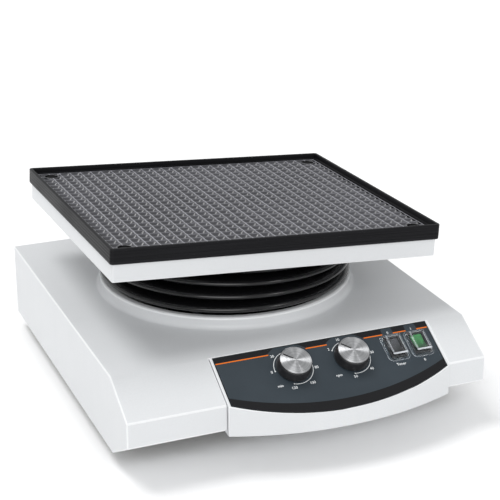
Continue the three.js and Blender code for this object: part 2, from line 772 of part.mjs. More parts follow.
// Power supply and control board on the base plate.
const supplyX = housing.width / 2 - housing.wall - supply.fromSide - supply.width / 2;
const supplyY = housing.depth - housing.wall - supply.fromRear - supply.depth / 2;
const supplyBox = block(supply.width, supply.depth, bottomZ, bottomZ + supply.height, supplyX, supplyY);
piece(layout, "power_supply", supplyBox, finish.steel);
const boardX = -(housing.width / 2 - housing.wall - board.fromSide - board.width / 2);
const boardY = housing.depth - housing.wall - board.fromRear - board.depth / 2;
const boardBottom = bottomZ + board.standoff;
const boardMiddle = boardBottom + board.thickness / 2;
const boardParts = [block(board.width, board.depth, boardBottom, boardBottom + board.thickness)];
for (const [, x, y] of corners) {
  const legX = x * (board.width / 2 - boardLeg.inset);
  const legY = y * (board.depth / 2 - boardLeg.inset);
  boardParts.push(rod(boardLeg.radius, bottomZ, boardMiddle, legX, legY, 12));
}
for (const { width, depth, height, x = 0, y } of [heatSink, relay]) {
  const top = boardBottom + board.thickness + height;
  boardParts.push(block(width, depth, boardMiddle, top, x, y));
}
piece(placed(layout, boardX, boardY, 0), "control_board", join(...boardParts), finish.board);

// Mains inlet on the rear wall, drawn with its mouth up and then turned to face the rear.
function makeInlet() {
  const rimTop = gap + inlet.flange;
  const flangeWidth = inlet.bodyWidth + 2 * inlet.flangeMargin;
  const flangeHeight = inlet.bodyHeight + 2 * inlet.flangeMargin;
  const outside = join(
    raised(roundedRectangle(flangeWidth, flangeHeight, inlet.corner), gap, rimTop, 3),
    block(inlet.bodyWidth, inlet.bodyHeight, gap - inlet.body, gap + over),
  );
  const half = socket.width / 2;
  const tall = socket.height / 2;
  const mouth = new THREE.Shape([
    new THREE.Vector2(-half, socket.middle - tall + socket.corner),
    new THREE.Vector2(socket.corner - half, socket.middle - tall),
    new THREE.Vector2(half - socket.corner, socket.middle - tall),
    new THREE.Vector2(half, socket.middle - tall + socket.corner),
    new THREE.Vector2(half, socket.middle + tall),
    new THREE.Vector2(-half, socket.middle + tall),
  ]);
  const floor = rimTop - socket.depth;
  const pinPlaces = [
    [-pin.spread, 0],
    [pin.spread, 0],
    [0, -pin.drop],
  ];
  const pins = pinPlaces.map(([x, y]) =>
    block(pin.thickness, pin.width, floor - over, floor + pin.length, x, socket.middle + y),
  );
  const slot = block(
    fuse.width + 2 * gap,
    fuse.height + 2 * gap,
    rimTop - fuse.depth - gap,
    rimTop + over,
    0,
    fuse.middle,
  );
  return join(cut(outside, raised(mouth, floor, rimTop + over), slot), ...pins);
}
const inletFrame = placed(layout, inletX, housing.depth, inletPlace.middle);
inletFrame.rotation.set(-turn / 4, turn / 2, 0, "YXZ");
piece(inletFrame, "mains_inlet", makeInlet(), finish.black);
const drawerTop = gap + inlet.flange;
const drawer = join(
  block(fuse.width, fuse.height, drawerTop - fuse.depth, drawerTop, 0, fuse.middle),
  block(fuse.lipWidth, fuse.lipHeight, drawerTop - over, drawerTop + fuse.lip, 0, fuse.middle),
);
piece(inletFrame, "fuse_drawer", drawer, finish.black);

// Stand the model on the bench, with the origin in the middle of its footprint.
const frontY = consoleBox.endY - consoleBox.bow;
const rearY = housing.depth + drawerTop + fuse.lip;
layout.position.set(0, -(frontY + rearY) / 2, foot.height);

export default shaker;
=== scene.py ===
import json
import math

import bpy
from mathutils import Matrix, Vector


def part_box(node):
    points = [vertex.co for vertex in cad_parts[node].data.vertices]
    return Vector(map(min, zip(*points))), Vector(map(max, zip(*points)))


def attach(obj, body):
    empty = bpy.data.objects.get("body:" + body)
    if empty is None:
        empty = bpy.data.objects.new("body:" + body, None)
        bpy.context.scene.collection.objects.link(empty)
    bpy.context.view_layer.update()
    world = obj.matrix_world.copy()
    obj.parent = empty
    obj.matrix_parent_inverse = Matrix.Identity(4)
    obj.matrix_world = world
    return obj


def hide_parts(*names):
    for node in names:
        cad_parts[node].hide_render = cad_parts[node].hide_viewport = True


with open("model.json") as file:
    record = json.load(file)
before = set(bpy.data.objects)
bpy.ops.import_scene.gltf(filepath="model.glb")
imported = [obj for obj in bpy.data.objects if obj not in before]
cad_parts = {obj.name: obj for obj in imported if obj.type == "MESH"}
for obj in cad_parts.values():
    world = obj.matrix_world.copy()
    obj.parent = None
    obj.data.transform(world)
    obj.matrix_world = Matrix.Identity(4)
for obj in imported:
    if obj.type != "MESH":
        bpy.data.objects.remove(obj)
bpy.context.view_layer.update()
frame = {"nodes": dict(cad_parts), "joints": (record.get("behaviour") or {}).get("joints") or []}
nodes = frame["nodes"]
joints = {joint["name"]: joint for joint in frame["joints"]}
mm = 0.001
print("frame loaded:", len(nodes), "nodes")


# a frame at a point, with its Z along an axis
def alongAxis(origin, normal):
    turnToward = Vector((0, 0, 1)).rotation_difference(Vector(normal))
    return Matrix.Translation(Vector(origin)) @ turnToward.to_matrix().to_4x4()


wobble = Vector(joints["tray_wobble"]["pos_m"])
trayFrame = alongAxis(wobble, joints["tray_wobble"]["axis"])

# the panel's layout, in millimetres across it and down its slope
panel = {
    "left": -73.1,
    "right": 121.6,
    "top": 1.4,
    "face": 1.1,  # how far the overlay's face stands up
    "knobs": {"timer": (-9.8, 23.4), "speed": (42.5, 23.6)},
    "switches": {"timer": (84.0, 22.4), "power": (106.6, 22.4)},
}
panelNormal = -Vector(joints["timer_turn"]["axis"]).normalized()
panelUp = panelNormal.cross(Vector((1, 0, 0)))
timerSpot = Vector(joints["timer_turn"]["pos_m"])
timerDown = panel["knobs"]["timer"][1]
panelOrigin = Vector((0, timerSpot.y, timerSpot.z)) + panelUp * timerDown * mm
panelFrame = Matrix.Translation(panelOrigin) @ Matrix(
    (Vector((1, 0, 0)), panelUp, panelNormal)
).transposed().to_4x4()
rockerDown = panel["switches"]["timer"][1]
rockerMiddle = (panelOrigin - panelUp * rockerDown * mm).dot(panelUp)


# a socket whose operators add Math nodes
class Wire:
    def __init__(self, finish, socket):
        self.finish = finish
        self.socket = socket

    def __add__(self, other):
        return self.finish.maths("ADD", self, other)

    def __radd__(self, other):
        return self.finish.maths("ADD", other, self)

    def __sub__(self, other):
        return self.finish.maths("SUBTRACT", self, other)

    def __rsub__(self, other):
        return self.finish.maths("SUBTRACT", other, self)

    def __mul__(self, other):
        return self.finish.maths("MULTIPLY", self, other)

    def __rmul__(self, other):
        return self.finish.maths("MULTIPLY", other, self)

    def __truediv__(self, other):
        return self.finish.maths("DIVIDE", self, other)

    def __rtruediv__(self, other):
        return self.finish.maths("DIVIDE", other, self)

    # 0 below low, 1 above high, smooth in between
    def between(self, low, high):
        settings = {"interpolation_type": "SMOOTHSTEP"}
        values = {"Value": self, "From Min": low, "From Max": high}
        return self.finish.add("ShaderNodeMapRange", settings, values)


class Finish:
    def __init__(self, name, **constants):
        self.material = bpy.data.materials.new(name)
        self.material.use_nodes = True
        self.tree = self.material.node_tree
        self.shader = next(n for n in self.tree.nodes if n.type == "BSDF_PRINCIPLED")
        self.feed(**constants)

    # a node of any type, with its settings first and then its sockets' values or links
    def add(self, kind, settings=None, values=None, output=0):
        node = self.tree.nodes.new(kind)
        for key, value in (settings or {}).items():
            setattr(node, key, value)
        for key, value in (values or {}).items():
            self.put(node.inputs[key], value)
        return Wire(self, node.outputs[output])

    def put(self, socket, value):
        if isinstance(value, Wire):
            self.tree.links.new(value.socket, socket)
        else:
            socket.default_value = value

    def feed(self, **values):
        for key, value in values.items():
            self.put(self.shader.inputs[key.replace("_", " ")], value)
        return self

    def maths(self, operation, *values):
        return self.add("ShaderNodeMath", {"operation": operation}, dict(enumerate(values)))

    # one coordinate of a vector, counted from 0 for x
    def part(self, vector, axis):
        return self.add("ShaderNodeSeparateXYZ", None, {"Vector": vector}, output=axis)

    # places in the piece's own frame, in metres
    def spot(self):
        return self.add("ShaderNodeTexCoord", output="Object")

    def place(self, stretch=(1, 1, 1)):
        values = {"Vector": self.spot(), "Scale": stretch}
        return self.add("ShaderNodeMapping", {"vector_type": "POINT"}, values)

    def noise(self, scale, detail, stretch=(1, 1, 1)):
        values = {"Vector": self.place(stretch), "Scale": scale, "Detail": detail}
        return self.add("ShaderNodeTexNoise", None, values)

    # noise along one number, such as the distance from an axis
    def ringNoise(self, radius, scale, detail):
        values = {"W": radius, "Scale": scale, "Detail": detail}
        return self.add("ShaderNodeTexNoise", {"noise_dimensions": "1D"}, values)

    # the colour sockets of a Mix node are its inputs 6 and 7, and its output 2
    def blend(self, share, first, second):
        values = {0: share, 6: first, 7: second}
        return self.add("ShaderNodeMix", {"data_type": "RGBA"}, values, output=2)

    def bumps(self, height, distance, strength, under=None):
        values = {"Height": height, "Distance": distance, "Strength": strength}
        if under is not None:
            values["Normal"] = under
        return self.add("ShaderNodeBump", None, values)

    # 0.5 on flat faces, more on ridges and less in corners
    def edges(self):
        return self.add("ShaderNodeNewGeometry", output="Pointiness")


def shade(colour, share):
    return (colour[0] * share, colour[1] * share, colour[2] * share, 1)


midTones = (0.3, 0.7)  # where noise turns from one tone to the other
middle = 0.5  # what noise is on average

# the housing, console and tray
coat = {
    "colour": (0.668, 0.68, 0.692, 1),
    "roughness": 0.38,
    # a lighter colour for the rounded edges: a painted highlight
    "edgeColour": (0.79, 0.798, 0.806, 1),
    "edgeRoughness": 0.34,
    "cloudScale": 9,
    "smearScale": 28,
    "smearStretch": (1, 3, 1),
    "grainScale": 700,
    "grainDepth": 0.02 * mm,
    "peelScale": 420,
    "peelDepth": 0.06 * mm,
    "cloudShade": 0.965,
    "grainShade": 0.95,
    "smearRoughness": 0.14,
    "grainRoughness": 0.06,
}


def powderCoat(name, colour, roughness):
    f = Finish(name)
    cloud = f.noise(coat["cloudScale"], detail=4)
    grain = f.noise(coat["grainScale"], detail=2)
    smear = f.noise(coat["smearScale"], detail=5, stretch=coat["smearStretch"])
    base = f.blend(cloud.between(*midTones), shade(colour, coat["cloudShade"]), colour)
    base = f.blend(grain.between(0.35, 0.7) * 0.5, base, shade(colour, coat["grainShade"]))
    rough = roughness + (smear - middle) * coat["smearRoughness"]
    rough = rough + (grain - middle) * coat["grainRoughness"]
    peel = f.bumps(f.noise(coat["peelScale"], detail=2), coat["peelDepth"], strength=0.5)
    normal = f.bumps(grain, coat["grainDepth"], strength=0.5, under=peel)
    return f.feed(Base_Color=base, Roughness=rough, Normal=normal)


# switches, knobs, feet and inserts
moulded = {"cloudScale": 40, "grainScale": 900, "grainDepth": 0.02 * mm, "gloss": 0.5}
footGrain = {"grainScale": 500, "grainDepth": 0.06 * mm}


def mouldedPlastic(name, colour, roughness, **changes):
    look = {**moulded, **changes}
    f = Finish(name, Specular_IOR_Level=look["gloss"])
    grain = f.noise(look["grainScale"], detail=3)
    cloud = f.noise(look["cloudScale"], detail=4)
    base = f.blend(cloud.between(*midTones), shade(colour, 0.85), shade(colour, 1.12))
    rough = roughness + (cloud - middle) * 0.16 + (grain - middle) * 0.1
    normal = f.bumps(grain, look["grainDepth"], strength=0.6)
    return f.feed(Base_Color=base, Roughness=rough, Normal=normal)


# the bellows: glossy, with fine lines round it and a little dust on top of its folds
glossyRubber = {
    "colour": (0.0035, 0.0035, 0.004, 1),
    "dustColour": (0.03, 0.03, 0.031, 1),
    "dustShare": 0.12,
    "roughness": 0.13,
    "ringScale": 60,
    "ringStretch": (0.15, 0.15, 6),
    "ringDepth": 0.08 * mm,
    "dustScale": 55,
    "fineScale": 900,
    "fineDepth": 0.01 * mm,
}


def ribbedRubber(name):
    look = glossyRubber
    f = Finish(name)
    rings = f.noise(look["ringScale"], detail=4, stretch=look["ringStretch"])
    dust = f.noise(look["dustScale"], detail=5).between(0.5, 0.8)
    upward = f.part(f.add("ShaderNodeNewGeometry", output="Normal"), 2)
    settled = dust * upward.between(0.2, 0.9)
    base = f.blend(settled * look["dustShare"], look["colour"], look["dustColour"])
    rough = look["roughness"] + rings * 0.08 + settled * 0.08
    fine = f.bumps(f.noise(look["fineScale"], detail=2), look["fineDepth"], strength=0.35)
    normal = f.bumps(rings, look["ringDepth"], strength=0.4, under=fine)
    return f.feed(Base_Color=base, Roughness=rough, Normal=normal)


# the mat's waffle floor, in millimetres, with the ridges painted paler: partly wear, partly a
# painted highlight
waffle = {
    "cell": (10.15, 10.0),
    "cells": (28, 24),
    "depth": 3.6,
    "ridge": 0.04,
    "samples": 9,
    "wearAndHighlightWidth": (0.02, 0.085),
    "wearAndHighlightShare": (1.0, 0.45),
    "wearAndHighlightColour": (0.36, 0.36, 0.4, 1),
    "patchScale": 240,
    "colours": ((0.03, 0.03, 0.036, 1), (0.044, 0.044, 0.052, 1)),
    "cloudScale": 14,
    "speckColour": (0.1, 0.1, 0.11, 1),
    "speckScale": 1300,
    "speckDepth": 0.04 * mm,
    "roughness": 0.33,
    "gloss": 0.8,
}


def waffleRubber(name):
    look = waffle
    f = Finish(name, Specular_IOR_Level=look["gloss"])
    spot = f.spot()
    wearAndHighlight = []
    # ridges along Y take the full share and ridges along X less: a painted highlight from light on
    # the left, on top of paler worn ridges
    for axis, (step, strength) in enumerate(zip(look["cell"], look["wearAndHighlightShare"])):
        cells = f.part(spot, axis) / (step * mm)
        away = f.maths("PINGPONG", cells, 0.5)
        wearAndHighlight.append((1 - away.between(*look["wearAndHighlightWidth"])) * strength)
    ridge = f.maths("MAXIMUM", *wearAndHighlight)
    cloud = f.noise(look["cloudScale"], detail=5)
    patchy = f.noise(look["patchScale"], detail=3).between(0.25, 0.6)
    speck = f.noise(look["speckScale"], detail=2)
    base = f.blend(cloud.between(*midTones), *look["colours"])
    base = f.blend(ridge * (0.35 + patchy * 0.5), base, look["wearAndHighlightColour"])
    base = f.blend(speck.between(0.66, 0.78) * 0.2, base, look["speckColour"])
    rough = look["roughness"] + (cloud - middle) * 0.12 - ridge * 0.05
    normal = f.bumps(speck, look["speckDepth"], strength=0.4)
    return f.feed(Base_Color=base, Roughness=rough, Normal=normal)


# the mat's rim, with lines of flow round it and paler edges
matRim = {
    "colours": ((0.0035, 0.0035, 0.0045, 1), (0.008, 0.008, 0.0095, 1)),
    "edgeColour": (0.06, 0.06, 0.068, 1),
    "edgeShare": 0.6,
    "roughness": 0.44,
    "gloss": 0.13,
    "lineScale": 30,
    "lineStretch": (0.3, 0.3, 45),
    "lineDepth": 0.09 * mm,
    "cloudScale": 18,
}


def rimRubber(name):
    look = matRim
    f = Finish(name, Specular_IOR_Level=look["gloss"])
    lines = f.noise(look["lineScale"], detail=4, stretch=look["lineStretch"])
    cloud = f.noise(look["cloudScale"], detail=4)
    edge = f.edges().between(0.53, 0.64)
    base = f.blend(lines.between(0.35, 0.7), *look["colours"])
    base = f.blend(edge * look["edgeShare"], base, look["edgeColour"])
    rough = look["roughness"] + (cloud - middle) * 0.2
    normal = f.bumps(lines, look["lineDepth"], strength=0.5)
    return f.feed(Base_Color=base, Roughness=rough, Normal=normal)


# shafts, pulleys and bearings, with the tool's rings round them
turning = {
    "ringScale": 900,
    "ringStretch": (0.05, 0.05, 1),
    "ringDepth": 0.02 * mm,
    "cloudScale": 35,
}


def turnedMetal(name, colour, roughness):
    f = Finish(name, Metallic=1.0)
    rings = f.noise(turning["ringScale"], detail=2, stretch=turning["ringStretch"])
    cloud = f.noise(turning["cloudScale"], detail=4)
    base = f.blend(cloud.between(0.3, 0.75), shade(colour, 0.84), colour)
    rough = roughness + (cloud - middle) * 0.18 + (rings - middle) * 0.1
    normal = f.bumps(rings, turning["ringDepth"], strength=0.5)
    return f.feed(Base_Color=base, Roughness=rough, Normal=normal)


# plated sheet, with its rolling marks along X
rolling = {
    "drawnScale": 45,
    "drawnStretch": (1, 24, 24),
    "drawnDepth": 0.03 * mm,
    "spangleScale": 160,
}


def sheetMetal(name, colour, roughness):
    f = Finish(name, Metallic=1.0)
    drawn = f.noise(rolling["drawnScale"], detail=4, stretch=rolling["drawnStretch"])
    spangle = f.noise(rolling["spangleScale"], detail=2)
    base = f.blend(spangle.between(0.35, 0.7), shade(colour, 0.8), colour)
    rough = roughness + (drawn - middle) * 0.2
    normal = f.bumps(drawn, rolling["drawnDepth"], strength=0.4)
    return f.feed(Base_Color=base, Roughness=rough, Normal=normal)


# the knobs' faces: a disc faced on a lathe, with fine rings round the piece's own Z axis
facing = {
    "colours": ((0.47, 0.476, 0.486, 1), (0.59, 0.596, 0.606, 1)),
    "roughness": 0.42,
    "fineRings": 5200,
    "broadRings": 700,
    "ringDepth": 0.0005 * mm,
    "turn": 0.25,  # a quarter turn, so that the sheen spreads in sectors
    "cloudScale": 90,
}


def spunFace(name):
    look = facing
    f = Finish(name, Metallic=1.0, Anisotropic=1.0, Anisotropic_Rotation=look["turn"])
    flatten = {"operation": "MULTIPLY"}
    flat = f.add("ShaderNodeVectorMath", flatten, {0: f.spot(), 1: (1, 1, 0)})
    radius = f.add("ShaderNodeVectorMath", {"operation": "LENGTH"}, {0: flat}, output="Value")
    rings = f.ringNoise(radius, look["fineRings"], detail=3)
    broad = f.ringNoise(radius, look["broadRings"], detail=2)
    base = f.blend(broad.between(*midTones), *look["colours"])
    cloud = f.noise(look["cloudScale"], detail=3)
    rough = look["roughness"] + (rings - middle) * 0.03 + (cloud - middle) * 0.02
    normal = f.bumps(rings, look["ringDepth"], strength=0.1)
    return f.feed(Base_Color=base, Roughness=rough, Normal=normal)


# the panel's print
printing = {"gloss": 0.24, "grainScale": 2400, "grainDepth": 0.008 * mm, "cloudScale": 60}


def printedInk(name, colour, roughness=0.5):
    f = Finish(name, Specular_IOR_Level=printing["gloss"])
    grain = f.noise(printing["grainScale"], detail=2)
    cloud = f.noise(printing["cloudScale"], detail=3)
    base = f.blend(grain.between(*midTones), shade(colour, 0.9), colour)
    rough = roughness + (cloud - middle) * 0.1
    normal = f.bumps(grain, printing["grainDepth"], strength=0.4)
    return f.feed(Base_Color=base, Roughness=rough, Normal=normal)


# the panel's textured film
film = {
    "colours": ((0.024, 0.034, 0.043, 1), (0.029, 0.04, 0.05, 1)),
    "roughness": 0.47,
    "gloss": 0.36,
    "grainScale": 2600,
    "grainDepth": 0.015 * mm,
    "cloudScale": 24,
}


def overlaySheet(name):
    f = Finish(name, Specular_IOR_Level=film["gloss"])
    grain = f.noise(film["grainScale"], detail=2)
    cloud = f.noise(film["cloudScale"], detail=4)
    base = f.blend(cloud.between(*midTones), *film["colours"])
    rough = film["roughness"] + (cloud - middle) * 0.12
    normal = f.bumps(grain, film["grainDepth"], strength=0.5)
    return f.feed(Base_Color=base, Roughness=rough, Normal=normal)


# the switch covers, clear on their faces, with pale half-clear strips on their edges as painted
# highlights
clearCap = {
    "colours": ((0.9, 0.93, 0.94, 1), (0.98, 0.99, 1, 1)),
    "bending": 1.24,
    "hazeScale": 160,
    "hazeDepth": 0.05 * mm,
    "paintedHighlightColours": ((0.5, 0.53, 0.58, 1), (0.8, 0.83, 0.86, 1)),
    "paintedHighlightNoiseScale": 260,
    "paintedHighlightCover": 0.3,
    "paintedReflectionCover": 0.8,
}


def clearCover(name):
    f = Finish(name, Transmission_Weight=1.0, IOR=clearCap["bending"])
    haze = f.noise(clearCap["hazeScale"], detail=4)
    base = f.blend(haze.between(0.35, 0.7), *clearCap["colours"])
    rough = 0.02 + haze * 0.04
    normal = f.bumps(haze, clearCap["hazeDepth"], strength=0.2)
    return f.feed(Base_Color=base, Roughness=rough, Normal=normal)


# a pale, half-clear strip for a cover's edges: a painted highlight
def paintedEdgeHighlight(name, share):
    f = Finish(name)
    haze = f.noise(clearCap["paintedHighlightNoiseScale"], detail=3)
    base = f.blend(haze, *clearCap["paintedHighlightColours"])
    return f.feed(Base_Color=base, Roughness=0.1 + haze * 0.2, Alpha=share + (haze - middle) * 0.4)


# the rockers' lower ends are painted darker as painted shade, and their upper ends keep the full
# colour
rocker = {
    "lowerEndShade": 0.16,
    "turnsOver": (-7 * mm, 5 * mm),
    "roughness": 0.34,
    "cloudScale": 120,
    "cloudDepth": 0.03 * mm,
}


def rockerPlastic(name, colour):
    f = Finish(name, Coat_Weight=0.3, Coat_Roughness=0.15)
    cloud = f.noise(rocker["cloudScale"], detail=3)
    along = {0: f.spot(), 1: tuple(panelUp)}
    up = f.add("ShaderNodeVectorMath", {"operation": "DOT_PRODUCT"}, along, output="Value")
    # painted shade: the colour darkens below the rocker's middle towards its lower end
    upperLitShare = (up - rockerMiddle).between(*rocker["turnsOver"])
    base = f.blend(cloud.between(*midTones), shade(colour, 0.85), shade(colour, 1.1))
    base = f.blend(upperLitShare, shade(colour, rocker["lowerEndShade"]), base)
    rough = rocker["roughness"] + (cloud - middle) * 0.12
    normal = f.bumps(cloud, rocker["cloudDepth"], strength=0.3)
    return f.feed(Base_Color=base, Roughness=rough, Normal=normal)


# the control board, with its tracks
board = {
    "colours": ((0.012, 0.075, 0.025, 1), (0.03, 0.14, 0.05, 1)),
    "trackScale": 140.0,
    "cloudScale": 60,
    "cloudDepth": 0.05 * mm,
}


def circuitBoard(name):
    f = Finish(name)
    tracks = f.add("ShaderNodeTexBrick", None, {"Vector": f.place(), "Scale": board["trackScale"]})
    cloud = f.noise(board["cloudScale"], detail=3)
    rough = 0.4 + cloud * 0.2
    normal = f.bumps(cloud, board["cloudDepth"], strength=0.4)
    return f.feed(Base_Color=f.blend(tracks, *board["colours"]), Roughness=rough, Normal=normal)


finishes = {
    "housing": powderCoat("warmWhitePowderCoat", coat["colour"], coat["roughness"]),
    "housingEdgeHighlight": powderCoat("powderCoatPaintedEdgeHighlight", coat["edgeColour"], coat["edgeRoughness"]),
    "overlay": overlaySheet("slateOverlay"),
    "black": mouldedPlastic("blackPlastic", (0.013, 0.013, 0.0145, 1), 0.36),
    "mat": rimRubber("matRim"),
    "waffle": waffleRubber("matWaffle"),
    "rubber": ribbedRubber("bellowsRubber"),
    "foot": mouldedPlastic("footRubber", (0.02, 0.02, 0.022, 1), 0.72, **footGrain),
    "steel": turnedMetal("turnedSteel", (0.42, 0.43, 0.44, 1), 0.34),
    "sheet": sheetMetal("platedSheet", (0.5, 0.5, 0.48, 1), 0.38),
    "aluminium": turnedMetal("turnedAluminium", (0.66, 0.67, 0.69, 1), 0.3),
    "spun": spunFace("spunAluminium"),
    "board": circuitBoard("circuitBoard"),
    "green": rockerPlastic("greenRocker", (0.03, 0.165, 0.048, 1)),
    "grey": rockerPlastic("greyRocker", (0.042, 0.042, 0.047, 1)),
    "clear": clearCover("clearCover"),
    "edge": paintedEdgeHighlight("clearEdgePaintedHighlight", clearCap["paintedHighlightCover"]),
    "brightEdgePaintedReflection": paintedEdgeHighlight("clearEdgePaintedReflection", clearCap["paintedReflectionCover"]),
    # near-black and low-gloss: the knob marks' and tray screws' own colour, and painted shade in
    # the mat's corner wells
    "hole": mouldedPlastic("darkInsertAndPaintedHoleShade", (0.002, 0.002, 0.0024, 1), 0.6, gloss=0.12),
    "bandInk": printedInk("blackInk", (0.0065, 0.0065, 0.0078, 1), 0.42),
    "orangeInk": printedInk("orangeInk", (0.82, 0.168, 0.002, 1)),
    "whiteInk": printedInk("whiteInk", (0.86, 0.88, 0.89, 1)),
}
print("finishes made:", len(finishes))


# a piece from its points and faces; more finishes follow the first in its material slots
def newPiece(name, vertices, faces, finish, place=None, smooth=True, more=()):
    mesh = bpy.data.meshes.new(name)
    mesh.from_pydata([tuple(v) for v in vertices], [], faces)
    mesh.validate()
    for each in [finish, *more]:
        mesh.materials.append(finishes[each].material)
    for polygon in mesh.polygons:
        polygon.use_smooth = smooth
    piece = bpy.data.objects.new(name, mesh)
    bpy.context.scene.collection.objects.link(piece)
    if place is not None:
        piece.matrix_world = place
    return piece


def settle(piece, body, slot, *replaced):
    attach(piece, body)
    if replaced:
        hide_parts(*replaced)


def scaled(section):
    return [(across * mm, height * mm) for across, height in section]


# a half section (radius, height) turned about Z; a closed section makes a ring
def turnedMesh(section, segments, closed=False):
    vertices, faces, rows = [], [], []
    for radius, height in section:
        if radius == 0:
            rows.append([len(vertices)] * segments)
            vertices.append((0, 0, height))
        else:
            rows.append([len(vertices) + i for i in range(segments)])
            for i in range(segments):
                angle = 2 * math.pi * i / segments
                vertices.append((radius * math.cos(angle), radius * math.sin(angle), height))
    pairs = list(zip(rows, rows[1:]))
    if closed:
        pairs.append((rows[-1], rows[0]))
    for low, high in pairs:
        for i in range(segments):
            j = (i + 1) % segments
            ring = [low[i], low[j], high[j], high[i]]
            # on the axis two corners are one, and the face is a triangle
            face = [v for k, v in enumerate(ring) if v != ring[k - 1]]
            if len(face) > 2:
                faces.append(face)
    return vertices, faces


cornerSteps = 6
leastCorner = 0.05 * mm


# the points of a rounded rectangle, moved inwards by an offset
def roundedLoop(width, depth, radius, offset):
    points = []
    r = max(radius - offset, leastCorner)
    x, y = width / 2 - offset - r, depth / 2 - offset - r
    for quarter, (sx, sy) in enumerate([(1, 1), (-1, 1), (-1, -1), (1, -1)]):
        for i in range(cornerSteps + 1):
            angle = (quarter + i / cornerSteps) * math.pi / 2
            points.append((sx * x + r * math.cos(angle), sy * y + r * math.sin(angle)))
    return points


# a section (offset, height) swept round a rounded rectangle, with lids if wanted
def sweptMesh(width, depth, radius, section, closed=False, lidFirst=False, lidLast=False):
    vertices, faces, loops = [], [], []
    for offset, height in section:
        loop = roundedLoop(width, depth, radius, offset)
        loops.append(range(len(vertices), len(vertices) + len(loop)))
        vertices += [(x, y, height) for x, y in loop]
    pairs = list(zip(loops, loops[1:]))
    if closed:
        pairs.append((loops[-1], loops[0]))
    for low, high in pairs:
        count = len(low)
        for i in range(count):
            j = (i + 1) % count
            faces.append([low[i], low[j], high[j], high[i]])
    if lidFirst:
        faces.append(list(reversed(loops[0])))
    if lidLast:
        faces.append(list(loops[-1]))
    return vertices, faces


# in degrees: the least angle of an edge, and the most between faces that count as one
softening = {"crease": 38, "flatWithin": 0.4, "weldGap": 0.004 * mm, "segments": 3}


# edges sharper than an angle stay crisp and the rest shade smoothly
def smoothingGroup(limit):
    group = bpy.data.node_groups.new("smoothBelow%d" % limit, "GeometryNodeTree")
    group.interface.new_socket("Geometry", in_out="INPUT", socket_type="NodeSocketGeometry")
    group.interface.new_socket("Geometry", in_out="OUTPUT", socket_type="NodeSocketGeometry")
    add = group.nodes.new
    start, end = add("NodeGroupInput"), add("NodeGroupOutput")
    angle, above = add("GeometryNodeInputMeshEdgeAngle"), add("FunctionNodeCompare")
    above.operation = "GREATER_THAN"
    above.inputs[1].default_value = math.radians(limit)
    everyFace, sharp = add("GeometryNodeSetShadeSmooth"), add("GeometryNodeSetShadeSmooth")
    everyFace.domain, sharp.domain = "FACE", "EDGE"
    everyFace.inputs["Shade Smooth"].default_value = True
    sharp.inputs["Shade Smooth"].default_value = False
    link = group.links.new
    link(start.outputs[0], everyFace.inputs["Geometry"])
    link(everyFace.outputs[0], sharp.inputs["Geometry"])
    link(angle.outputs["Unsigned Angle"], above.inputs[0])
    link(above.outputs[0], sharp.inputs["Selection"])
    link(sharp.outputs[0], end.inputs[0])
    return group


smoothing = smoothingGroup(softening["crease"])


def shadeSoftly(piece):
    shading = piece.modifiers.new("shading", "NODES")
    shading.node_group = smoothing


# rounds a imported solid's edges; an edge slot gives the rounds a finish of their own
def soften(piece, width, edgeSlot):
    merge = piece.modifiers.new("weld", "WELD")
    merge.merge_threshold = softening["weldGap"]
    clean = piece.modifiers.new("clean", "DECIMATE")
    clean.decimate_type = "DISSOLVE"
    clean.angle_limit = math.radians(softening["flatWithin"])
    if width:
        rounded = piece.modifiers.new("rounded", "BEVEL")
        rounded.width = width
        rounded.segments = softening["segments"]
        rounded.limit_method = "ANGLE"
        rounded.angle_limit = math.radians(softening["crease"])
        rounded.use_clamp_overlap = False
        rounded.material = edgeSlot
    shadeSoftly(piece)
    if width:
        weights = piece.modifiers.new("weights", "WEIGHTED_NORMAL")
        weights.keep_sharp = True


# a frame on the panel, in millimetres across it and down its slope
def onPanel(x, down, clockwise=0.0):
    spot = Matrix.Translation(Vector((x * mm, -down * mm, panel["face"] * mm)))
    return panelFrame @ spot @ Matrix.Rotation(-math.radians(clockwise), 4, "Z")


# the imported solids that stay: a finish, and how wide their edges are rounded in millimetres
carried = {
    "housing_shell": ("housing", 1.1),
    "console_shell": ("housing", 0.4),
    "console_overlay": ("overlay", 0),
    "tray_shell": ("housing", 0.9),
    "base_plate": ("sheet", 0.4),
    "timer_switch_frame": ("black", 0.25),
    "power_switch_frame": ("black", 0.25),
    "timer_rocker": ("grey", 0.5),
    "power_rocker": ("green", 0.5),
    "mains_inlet": ("black", 0.35),
    "fuse_drawer": ("black", 0.3),
    "bearing_housing": ("aluminium", 0.4),
    "lower_bearing": ("steel", 0.5),
    "upper_bearing": ("steel", 0.5),
    "main_shaft": ("steel", 0.5),
    "driven_pulley": ("aluminium", 0.3),
    "motor_pulley": ("aluminium", 0.3),
    "wobble_hub": ("steel", 0.6),
    "motor_shaft": ("steel", 0.3),
    "gear_motor": ("black", 0.8),
    "motor_bracket": ("sheet", 0.4),
    "drive_belt": ("foot", 0.2),
    "tray_bearing": ("steel", 0.5),
    "tray_carrier": ("aluminium", 0.6),
    "bellows_clamp_upper": ("sheet", 0.4),
    "bellows_clamp_lower": ("sheet", 0.4),
    "power_supply": ("sheet", 0.8),
    "control_board": ("board", 0.15),
    "timer_potentiometer": ("black", 0.3),
    "speed_potentiometer": ("black", 0.3),
    "timer_potentiometer_nut": ("steel", 0.2),
    "speed_potentiometer_nut": ("steel", 0.2),
    "timer_knob_shaft": ("steel", 0.2),
    "speed_knob_shaft": ("steel", 0.2),
}
families = {"base_screw": ("steel", 0.2), "foot_": ("foot", 0.8), "tray_screw": ("hole", 0.3)}
for name in nodes:
    for start, look in families.items():
        if name.startswith(start):
            carried[name] = look
